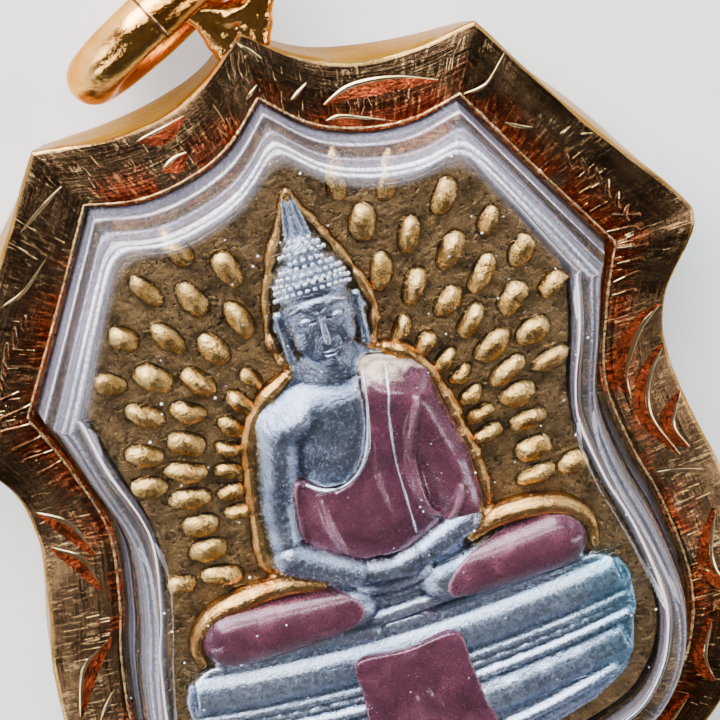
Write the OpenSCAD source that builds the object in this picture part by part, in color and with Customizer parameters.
// A worn amulet pendant: gold case, clear front, relief medal, loose jump ring.
// Units are millimetres. The pendant lies on its back on z = 0, its head toward +y.

/* [Window and case] */
// Width of the window, between the two side corners
window_w = 26; // [20:0.5:34]
// Height of the window, from its apex to its foot
window_h = 36.5; // [28:0.5:48]
// Width of the engraved bezel round the window
bezel_w = 3; // [2:0.1:4]
// Height of the case's front outer edge over the floor
case_h = 4.2; // [3.6:0.1:6]
// How much higher the bezel's inner edge stands than its outer edge
bezel_rise = 0.4; // [0.1:0.1:0.8]
// Thickness of the bezel plate
bezel_t = 0.85; // [0.6:0.05:1.2]
// Thickness of the side wall
wall_t = 0.84; // [0.6:0.02:1.2]
// Thickness of the lip that holds the back plate
back_lip_t = 0.72; // [0.5:0.02:1]
// Width of the back lip
back_lip_w = 1.9; // [1.2:0.1:2.2]

/* [Front lens] */
// Height of the lens top over the floor
lens_top = 7.3; // [6.8:0.1:9]
// Thickness of the lens over the figure
lens_t = 0.95; // [0.7:0.05:1.3]
// Thickness of the lens flange under the bezel
lens_flange_t = 0.7; // [0.5:0.05:1]
// Thickness of the lens side wall
lens_wall = 1.1; // [0.8:0.05:1.4]

/* [Medal and relief] */
// Height of the medal's ground over the floor
ground_z = 4.3; // [4:0.1:5]
// Height of the raised beads over the ground
bead_h = 0.42; // [0.2:0.02:0.7]
// Length of a raised bead
bead_l = 1.75; // [1.2:0.05:2.2]
// Width of a raised bead
bead_w = 0.72; // [0.5:0.02:1]
// Distance between two rows of beads
bead_row = 1.98; // [1.8:0.02:2.6]
// Angle between two beads in a row, in degrees
bead_turn = 9.5; // [9:0.5:14]
// Width of the raised line round the figure
edge_line_w = 0.3; // [0.2:0.02:0.5]
// Height of the raised line over the ground
edge_line_h = 0.45; // [0.2:0.05:0.8]
// Height of the figure's low ground over the medal
figure_base_h = 0.5; // [0.3:0.05:0.8]
// Height of the figure's body over its low ground
figure_body_h = 0.42; // [0.3:0.02:0.6]
// Thickness of the enamel
enamel_t = 0.42; // [0.25:0.02:0.6]
// Gap between two pieces that touch
gap = 0.04; // [0.02:0.01:0.08]

/* [Eyelet and ring] */
// Wire of the eyelet
eyelet_wire = 1.2; // [0.9:0.1:1.6]
// Hole of the eyelet
eyelet_hole = 3.2; // [3:0.1:4]
// Wire of the jump ring
ring_wire = 2.2; // [1.4:0.1:2.3]
// Outer diameter of the jump ring
ring_od = 9.2; // [8.6:0.1:12]
// Lean of the standing ring, in degrees
ring_lean = 26; // [0:1:30]
// Direction in which the ring lies, in degrees from +x
ring_turn = 205.5; // [180:0.5:215]
// Width of the ring's butt seam
ring_seam = 0.08; // [0.05:0.01:0.2]

/* [Hidden] */
half_w = window_w / 2;
seat_clear = 0.03;
edge_z = case_h + bezel_rise;
bezel_under = edge_z - bezel_t;
k_wall = 1 - wall_t / bezel_w;
k_seat = k_wall - seat_clear;
k_lip = 1 - back_lip_w / bezel_w;
k_plug = k_lip - seat_clear;
lens_flange_z = bezel_under - gap - lens_flange_t;
lens_under = lens_top - lens_t;
k_lens = -0.05;
k_lens_top = k_lens - 0.15;
k_lens_in = k_lens - lens_wall / bezel_w;
k_medal = k_lens_in - 0.04;
plate_top = back_lip_t + gap + 1.2;
medal_foot_top = lens_flange_z - gap;
figure_z = ground_z + gap;
body_z = figure_z + figure_base_h;
enamel_z = body_z + figure_body_h + gap;
eyelet_r = eyelet_hole / 2 + eyelet_wire / 2;
eyelet_y = window_h / 2 + bezel_w + eyelet_r + 0.7;
eyelet_z = case_h - 0.53;
ring_r = (ring_od - ring_wire) / 2;

// Half of the window's outline from the apex down: x and depth as shares of the
// window, then the outward push of the front edge and of the back edge, as
// shares of the bezel's width, then 1 at a corner.
keys = [
  [0.000, 0.0000, 0.00, -1.00, 0.00, -0.62, 1],
  [0.135, 0.0468, 0.11, -0.99, 0.06, -0.70, 0],
  [0.285, 0.0705, 0.23, -0.95, 0.14, -0.74, 0],
  [0.454, 0.0784, 0.36, -1.00, 0.26, -0.70, 0],
  [0.627, 0.0657, 0.50, -0.98, 0.34, -0.50, 1],
  [0.808, 0.1810, 0.90, -0.46, 0.84, -0.40, 0],
  [0.975, 0.2850, 1.28, -0.18, 1.08, -0.10, 0],
  [0.997, 0.3020, 1.31, 0.05, 1.06, 0.05, 0],
  [0.978, 0.3200, 1.23, 0.18, 1.02, 0.14, 0],
  [0.920, 0.3835, 0.97, 0.12, 0.92, 0.12, 0],
  [0.862, 0.4740, 1.08, -0.06, 1.06, -0.04, 0],
  [0.900, 0.5730, 1.10, -0.05, 1.08, -0.05, 0],
  [0.954, 0.6490, 1.07, -0.05, 1.06, -0.05, 0],
  [0.992, 0.7530, 1.00, 0.00, 0.99, 0.00, 0],
  [0.968, 0.8270, 0.99, 0.18, 0.98, 0.16, 0],
  [0.885, 0.8930, 0.86, 0.52, 0.84, 0.50, 0],
  [0.715, 0.9480, 0.50, 0.88, 0.49, 0.85, 0],
  [0.370, 0.9830, 0.20, 1.03, 0.19, 1.00, 0],
  [0.000, 1.0000, 0.00, 1.08, 0.00, 1.04, 1]
];
steps = 3;

// A key of the outline at share k of the bezel and share b of the way to the back.
function key_at(i, k, b) = let (q = keys[i]) [
  q[0] * half_w + bezel_w * k * (q[2] + (q[4] - q[2]) * b),
  window_h / 2 - q[1] * window_h - bezel_w * k * (q[3] + (q[5] - q[3]) * b)];
function curve(a, p, q, c, t) = 0.5 * (2 * p + (q - a) * t
  + (2 * a - 5 * p + 4 * q - c) * t * t + (3 * p - a - 3 * q + c) * t * t * t);
function half_at(i, t, k, b) = let (
  p = key_at(i, k, b), q = key_at(i + 1, k, b),
  a = keys[i][6] == 1 ? 2 * p - q : key_at(i - 1, k, b),
  c = keys[i + 1][6] == 1 ? 2 * q - p : key_at(i + 2, k, b)) curve(a, p, q, c, t);
function half_line(k, b) = [for (i = [0 : len(keys) - 2]) for (s = [0 : steps - 1])
  half_at(i, s / steps, k, b)];
// The closed outline, clockwise seen from the front.
function outline(k, b) = let (h = half_line(k, b), n = len(h)) concat(
  h, [key_at(len(keys) - 1, k, b)], [for (i = [1 : n - 1]) [-h[n - i][0], h[n - i][1]]]);
function back_share(z) = min(1, max(0, (case_h - 0.1 - z) / (case_h - 0.1)));
function level(k, z) = let (o = outline(k, back_share(z))) [for (p = o) [p[0], p[1], z]];

// A band swept round the outline: each row of the profile is [k, z].
module swept(profile, ends) {
  rows = [for (r = profile) level(r[0], r[1])];
  n = len(rows[0]);
  m = len(rows);
  last = ends ? m - 2 : m - 1;
  points = concat([for (r = rows) for (p = r) p],
    ends ? [[0, 0, profile[0][1]], [0, 0, profile[m - 1][1]]] : []);
  sides = [for (j = [0 : last]) for (i = [0 : n - 1]) let (
    a = j * n + i, b = j * n + (i + 1) % n,
    c = ((j + 1) % m) * n + (i + 1) % n, d = ((j + 1) % m) * n + i)
    each [[a, b, c], [a, c, d]]];
  caps = ends ? concat(
    [for (i = [0 : n - 1]) [n * m, (i + 1) % n, i]],
    [for (i = [0 : n - 1]) [n * m + 1, (m - 1) * n + i, (m - 1) * n + (i + 1) % n]]) : [];
  polyhedron(points = points, faces = concat(sides, caps), convexity = 6);
}

// A flat plate of the outline at share k, as wide as the case allows at its lower face.
module slab(k, z0, z1) translate([0, 0, z0]) linear_extrude(z1 - z0)
  polygon(outline(k, back_share(z0)));

// Small helpers for the relief. A place is x and the depth below the window's apex, told
// on a window of 26 by 36.5, and it follows the window.
relief_x = window_w / 26;
relief_y = window_h / 36.5;
relief_r = min(relief_x, relief_y);
relief_h = figure_body_h / 0.42;
function at(x, d) = [x * relief_x, window_h / 2 - d * relief_y];
function places(t) = [for (q = t) at(q[0], q[1])];
function mirrored(t) = concat(t, [for (i = [len(t) - 1 : -1 : 0]) if (t[i][0] != 0)
  [-t[i][0], t[i][1]]]);
function grown(t, g) = let (n = len(t)) [for (i = [0 : n - 1]) let (
  a = t[(i + n - 1) % n], c = t[(i + 1) % n], e = c - a, l = norm(e))
  t[i] + g * [e[1], -e[0]] / l];
module tile(t, z, h) translate([0, 0, z]) linear_extrude(h) polygon(places(t));
module limb(p, q, rp, rq, z, h) hull() {
  translate(concat(at(p[0], p[1]), z)) {
    cylinder(r = rp * relief_r, h = h * 0.45 * relief_h, $fn = 14);
    cylinder(r = rp * 0.6 * relief_r, h = h * relief_h, $fn = 14);
  }
  translate(concat(at(q[0], q[1]), z)) {
    cylinder(r = rq * relief_r, h = h * 0.45 * relief_h, $fn = 14);
    cylinder(r = rq * 0.6 * relief_r, h = h * relief_h, $fn = 14);
  }
}

// Outlines of the relief, as places from the window's apex.
figure_half = [[0, 4.4], [0.35, 5.3], [0.9, 6.3], [1.55, 7.4], [1.85, 8.6], [2.0, 9.8],
  [2.15, 10.6], [2.0, 12.0], [1.35, 12.8], [2.0, 13.1], [3.0, 13.4], [3.8, 14.4],
  [4.3, 16.2], [4.75, 18.6], [5.05, 20.4], [5.0, 21.6], [6.6, 21.7], [8.2, 22.0],
  [9.1, 23.0], [9.2, 24.4], [8.8, 25.3], [7.6, 25.75], [5.0, 26.15], [2.5, 26.25], [0, 26.3]];
throne_half = [[0, 26.42], [2.5, 26.38], [5.0, 26.3], [7.7, 25.9], [9.0, 25.45],
  [10.1, 25.7], [10.55, 26.6], [10.5, 28.4], [10.2, 29.2], [9.9, 30.6], [9.3, 31.6],
  [7.6, 32.6], [5.0, 33.4], [2.5, 33.8], [0, 33.9]];
robe = [[1.5, 13.4], [2.5, 13.2], [3.4, 13.9], [4.0, 15.2], [4.35, 17.3], [4.6, 19.4],
  [4.5, 21.2], [3.7, 22.1], [2.0, 22.2], [0, 22.0], [-2.2, 21.7], [-2.95, 20.4],
  [-2.85, 18.6], [-2.6, 17.5], [-1.7, 17.9], [-0.5, 17.8], [0.3, 16.6], [0.9, 15.0]];
knee_left = [[-2.6, 24.9], [-5.0, 25.3], [-7.4, 25.2], [-8.35, 24.8], [-8.6, 23.9],
  [-8.0, 22.9], [-6.4, 22.6], [-4.2, 22.85], [-2.8, 23.1], [-1.9, 24.0]];
knee_right = [[2.4, 24.0], [3.4, 23.1], [5.2, 22.8], [7.0, 22.7], [8.2, 23.1],
  [8.55, 24.0], [8.2, 24.9], [7.2, 25.3], [5.0, 25.4], [2.8, 25.0]];
cloth = [[-2.6, 26.9], [-0.3, 27.0], [2.1, 26.8], [2.4, 28.4], [2.6, 30.4], [2.75, 32.3],
  [0, 32.75], [-2.95, 32.5], [-2.85, 30.4], [-2.7, 28.4]];

// Half width of the space that the figure and throne keep free of beads, by depth.
keep_out = [[0, 0], [2.6, 0], [3.3, 0.5], [5.2, 0.8], [7.5, 1.9], [9.5, 2.4], [12.4, 2.5],
  [13, 3.3], [14.5, 4.3], [18.5, 5.1], [20.2, 5.4], [21.1, 5.6], [21.3, 8.9], [23, 9.6], [25, 9.7],
  [25.4, 11.0], [28.6, 10.9], [31, 10.5], [32, 9.6], [33.6, 8.2], [34.8, 0]];
// Half width of the ground inside the lens wall, by depth, from the outline itself.
ground_half = [for (p = half_line(k_medal, 0)) [(window_h / 2 - p[1]) / relief_y, p[0] / relief_x]];

// The gold case with its bezel, side walls, back lip and soldered eyelet.
module frame() color("#8a5a2b") {
  swept([[k_wall, bezel_under], [k_wall, back_lip_t], [k_lip, back_lip_t], [k_lip, 0],
    [0.94, 0], [1, 0.3], [1, case_h * 0.5], [1, case_h - 0.12], [0.955, case_h + 0.04],
    [0.55, edge_z - bezel_rise * 0.4], [0.12, edge_z], [0.05, edge_z + 0.1], [0, edge_z],
    [0, bezel_under]], false);
  translate([0, eyelet_y, eyelet_z]) rotate_extrude($fn = 48)
    translate([eyelet_r, 0]) circle(d = eyelet_wire, $fn = 24);
  for (s = [-1, 1]) hull() {
    translate([s * 1.25, eyelet_y - eyelet_r * 0.8, eyelet_z]) sphere(d = eyelet_wire, $fn = 12);
    translate([s * 0.75, window_h / 2 + bezel_w * 0.8, eyelet_z - 0.1]) sphere(d = 1.1, $fn = 12);
  }
  hull() {
    translate([-0.6, eyelet_y - eyelet_r, eyelet_z]) sphere(d = eyelet_wire * 0.95, $fn = 12);
    translate([0.6, eyelet_y - eyelet_r, eyelet_z]) sphere(d = eyelet_wire * 0.95, $fn = 12);
    translate([0, window_h / 2 + bezel_w * 0.85, eyelet_z - 0.5]) sphere(d = 1, $fn = 12);
  }
}

// The clear cover: a flange under the bezel, side walls and a rounded flat top.
module front_lens() color("#dfe6ee") swept([
  [k_lens_in - 0.24, lens_under], [k_lens_in - 0.1, lens_under - 0.2], [k_lens_in, lens_under - 0.75],
  [k_lens_in, lens_flange_z], [k_seat, lens_flange_z], [k_seat, lens_flange_z + lens_flange_t],
  [k_lens, lens_flange_z + lens_flange_t], [k_lens_top, lens_top - 0.7],
  [k_lens_top - 0.1, lens_top - 0.3], [k_lens_top - 0.25, lens_top - 0.08],
  [k_lens_top - 0.42, lens_top]], true);

function share_at(t, d, i = 0) = d <= t[0][0] ? t[0][1] : i >= len(t) - 1 ? t[len(t) - 1][1]
  : d <= t[i + 1][0] ? t[i][1] + (t[i + 1][1] - t[i][1]) * (d - t[i][0]) / (t[i + 1][0] - t[i][0])
  : share_at(t, d, i + 1);
function open_ground(x, d, m) = abs(x) > share_at(keep_out, d) + m
  && abs(x) < share_at(ground_half, d) - m && d > 3.0 && d < 34;
// Beads stand in rows round the figure, and lean more toward the sides the lower they are.
bead_rows = [for (j = [-1 : 5]) let (a = 7.8 + bead_row * j, c = a + 1.0, n = floor(360 / bead_turn))
  for (i = [0 : n - 1]) let (t = (i + (j % 2 == 0 ? 0.5 : 0)) * 360 / n,
    x = a * cos(t), d = 18 - c * sin(t), s = sign(x),
    lean = max(12, atan2(18.5 - d, abs(x))),
    e = 0.5 * bead_l * [cos(lean), sin(lean)])
  if (open_ground(x, d, 0.3) && open_ground(x + s * e[0], d - e[1], 0.16)
    && open_ground(x - s * e[0], d + e[1], 0.1))
  [x, d, s < 0 ? 180 - lean : lean]];

// The ground plate with its foot, the raised beads and the raised line.
module medal() color("#a8752f") {
  slab(k_seat, plate_top + gap, medal_foot_top);
  slab(k_medal, medal_foot_top - 0.1, ground_z);
  for (q = bead_rows) translate(concat(at(q[0], q[1]), ground_z - 0.1)) rotate([0, 0, q[2]]) {
    w = bead_w / 2;
    l = bead_l / 2;
    hull() {
      linear_extrude(0.1 + bead_h * 0.6) polygon([[l, -w * 0.5], [l, w * 0.5], [l - w * 0.6, w],
        [-l + w * 0.6, w], [-l, w * 0.5], [-l, -w * 0.5], [-l + w * 0.6, -w], [l - w * 0.6, -w]]);
      linear_extrude(0.1 + bead_h) polygon([[l - w * 0.5, -w * 0.4], [l - w * 0.5, w * 0.4],
        [-l + w * 0.5, w * 0.4], [-l + w * 0.5, -w * 0.4]]);
    }
  }
  difference() {
    tile(grown(mirrored(figure_half), 0.06 + edge_line_w), ground_z - 0.1, 0.1 + edge_line_h);
    tile(grown(mirrored(figure_half), 0.06), ground_z - 0.2, 0.4 + edge_line_h);
    translate(concat(at(-13, 30), ground_z - 0.2)) cube([window_w, 5 * relief_y, 0.4 + edge_line_h]);
  }
}

// The silver figure: a low ground, then the body, head, arms, hands and folded legs.
module buddha_figure() color("#9fb0bf") difference() {
  union() {
    tile(mirrored(figure_half), figure_z, figure_base_h);
    // trunk under the robe, arms and bare shoulder
    tile([[1.6, 13.2], [2.8, 13.4], [3.7, 14.6], [4.2, 17.0], [4.55, 19.6], [4.3, 21.6], [2.5, 22.3],
      [-2.5, 22.3], [-3.4, 21.6], [-3.6, 17.0], [-3.4, 14.4], [-2.6, 13.3], [-1.4, 13.1]],
      body_z - 0.1, figure_body_h + 0.1);
    limb([-2.7, 14.3], [-3.75, 17.4], 0.95, 0.8, body_z - 0.1, 0.95);
    limb([-3.75, 17.4], [-4.15, 20.6], 0.8, 0.72, body_z - 0.1, 0.9);
    limb([-4.1, 20.6], [-1.0, 22.6], 0.72, 0.55, body_z - 0.1, 0.85);
    limb([-2.3, 14.6], [1.0, 14.2], 0.9, 0.7, body_z - 0.1, 0.85);
    limb([-2.2, 16.0], [-0.8, 16.6], 1.1, 0.8, body_z - 0.1, 0.85);
    limb([0, 13.0], [0, 14.0], 0.95, 1.1, body_z - 0.1, 0.75);
    // hands in the lap and the forearm under the robe
    limb([3.9, 22.3], [0.6, 23.0], 0.55, 0.55, body_z - 0.1, 0.75);
    limb([-1.9, 23.3], [1.7, 23.4], 0.5, 0.5, body_z - 0.1, 0.9);
    limb([-1.6, 24.1], [2.0, 24.2], 0.45, 0.45, body_z - 0.1, 0.8);
    // thighs and folded legs
    limb([-3.0, 23.9], [-7.9, 23.8], 1.35, 1.25, body_z - 0.1, 0.1 + figure_body_h);
    limb([3.0, 23.9], [7.9, 23.8], 1.35, 1.25, body_z - 0.1, 0.1 + figure_body_h);
    limb([-8.1, 25.2], [-1.2, 25.6], 0.42, 0.5, body_z - 0.1, 0.8);
    limb([-1.4, 25.4], [2.4, 24.9], 0.5, 0.45, body_z - 0.1, 0.85);
    limb([2.4, 25.75], [8.1, 25.2], 0.34, 0.34, body_z - 0.1, 0.6);
    // head: skull, face, hair cap, knot, flame and long ears
    limb([0, 9.6], [0, 11.2], 1.6, 1.15, body_z - 0.1, 0.95);
    limb([0, 8.6], [0, 9.4], 1.55, 1.68, body_z - 0.1, 0.85);
    limb([0, 7.3], [0, 8.3], 0.95, 1.45, body_z - 0.1, 0.9);
    limb([0, 5.0], [0, 6.6], 0.12, 0.5, body_z - 0.1, 0.7);
    limb([0, 9.8], [0, 10.75], 0.12, 0.2, body_z + 0.7, 0.35);
    limb([-0.28, 11.4], [0.28, 11.4], 0.12, 0.12, body_z + 0.7, 0.22);
    for (s = [-1, 1]) {
      limb([s * 1.82, 9.9], [s * 1.7, 11.7], 0.26, 0.3, body_z - 0.1, 0.6);
      limb([s * 0.4, 9.95], [s * 0.95, 9.9], 0.12, 0.1, body_z + 0.6, 0.28);
    }
    for (r = [0 : 3]) for (i = [-1.5 + r * 0.25 : 1 : 1.6 - r * 0.25])
      translate(concat(at(i * 0.72, 8.5 - r * 0.62), body_z + 0.6))
        cylinder(r = 0.24 * relief_r, h = 0.32 * relief_h, $fn = 8);
  }
  // seats for the enamel
  tile(grown(robe, gap), enamel_z - gap, 3);
  tile(grown(knee_left, gap), enamel_z - gap, 3);
  tile(grown(knee_right, gap), enamel_z - gap, 3);
}

// Enamel laid on the figure: a tile with a smaller raised middle.
module enamel(t, z) color("#5e2335") {
  tile(t, z, enamel_t * 0.6);
  tile(grown(t, -0.22), z, enamel_t);
}
module robe_enamel() enamel(robe, enamel_z);
module knee_enamel_left() enamel(knee_left, enamel_z);
module knee_enamel_right() enamel(knee_right, enamel_z);

// A bowed band of the throne between two depths at its middle and two at its ends.
module bowed(c0, e0, c1, e1, w0, w1, z, h) tile(concat(
  [for (i = [-8 : 8]) [i / 8 * w0, c0 + (e0 - c0) * pow(i / 8, 2)]],
  [for (i = [8 : -1 : -8]) [i / 8 * w1, c1 + (e1 - c1) * pow(i / 8, 2)]]), z, h);

// A lotus petal with its root at a place; a negative length points it upward.
module petal(x, d, w, l, h) {
  tile([for (q = [[-1, 0], [-0.92, 0.45], [-0.5, 0.8], [0, 1], [0.5, 0.8], [0.92, 0.45], [1, 0]])
    [x + q[0] * w, d + q[1] * l]], body_z - 0.1, 0.1 + h * 0.6);
  tile([for (q = [[-0.6, 0.05], [-0.55, 0.4], [0, 0.8], [0.55, 0.4], [0.6, 0.05]])
    [x + q[0] * w, d + q[1] * l]], body_z - 0.1, 0.1 + h);
}

// The lotus throne with its bowed tiers and two rows of petals.
module throne() color("#93a7b8") difference() {
  union() {
    tile(mirrored(throne_half), figure_z, figure_base_h);
    bowed(26.6, 25.9, 27.5, 26.8, 10.2, 10.35, body_z - 0.1, 0.8);
    bowed(28.9, 27.9, 29.5, 28.5, 10.3, 10.1, body_z - 0.1, 0.75);
    bowed(29.7, 28.7, 30.1, 29.1, 10.0, 9.8, body_z - 0.1, 0.6);
    bowed(32.6, 30.9, 33.5, 31.7, 9.1, 8.4, body_z - 0.1, 0.75);
    for (i = [-5.5 : 1 : 5.5]) let (x = i * 1.72, u = pow(x / 10.2, 2)) {
      petal(x, 28.75 - 0.95 * u, 0.74, -1.05, 0.55);
      if (abs(i) < 5) petal(x * 0.97, 30.35 - 1.1 * u, 0.76, 1.5 - 0.3 * u, 0.5);
    }
    tile(grown(cloth, 0.28), body_z - 0.1, 0.1 + figure_body_h + 0.3);
  }
  tile(grown(cloth, gap), enamel_z - gap, 3);
}

// The cloth panel over the middle of the throne, with a plain lotus bud.
module cloth_enamel() color("#5e2335") {
  tile(cloth, enamel_z, enamel_t * 0.6);
  tile(grown(cloth, -0.22), enamel_z, enamel_t * 0.8);
  tile([[-0.1, 28.3], [0.55, 29.3], [0.45, 30.1], [-0.1, 30.5], [-0.65, 30.1], [-0.75, 29.3]],
    enamel_z, enamel_t + 0.1);
}

// The plain plate that closes the case from behind.
module back_plate() color("#b08a4a") {
  slab(k_plug, 0, back_lip_t + gap + 0.1);
  slab(k_seat, back_lip_t + gap, plate_top);
}

// The jump ring, standing on its edge in the eyelet, with its butt seam.
module ring() color("#b9823f") translate([0, eyelet_y, eyelet_z]) rotate([-ring_lean, 0, 0])
  rotate([0, 0, ring_turn]) translate([ring_r, 0, 0]) rotate([90, 0, 0]) difference() {
    rotate_extrude($fn = 48) translate([ring_r, 0]) circle(d = ring_wire, $fn = 24);
    rotate([0, 0, 85]) translate([ring_r, 0, 0])
      cube([ring_wire * 1.5, ring_seam, ring_wire * 1.5], center = true);
  }

frame();
front_lens();
medal();
buddha_figure();
robe_enamel();
knee_enamel_left();
knee_enamel_right();
throne();
cloth_enamel();
back_plate();
ring();
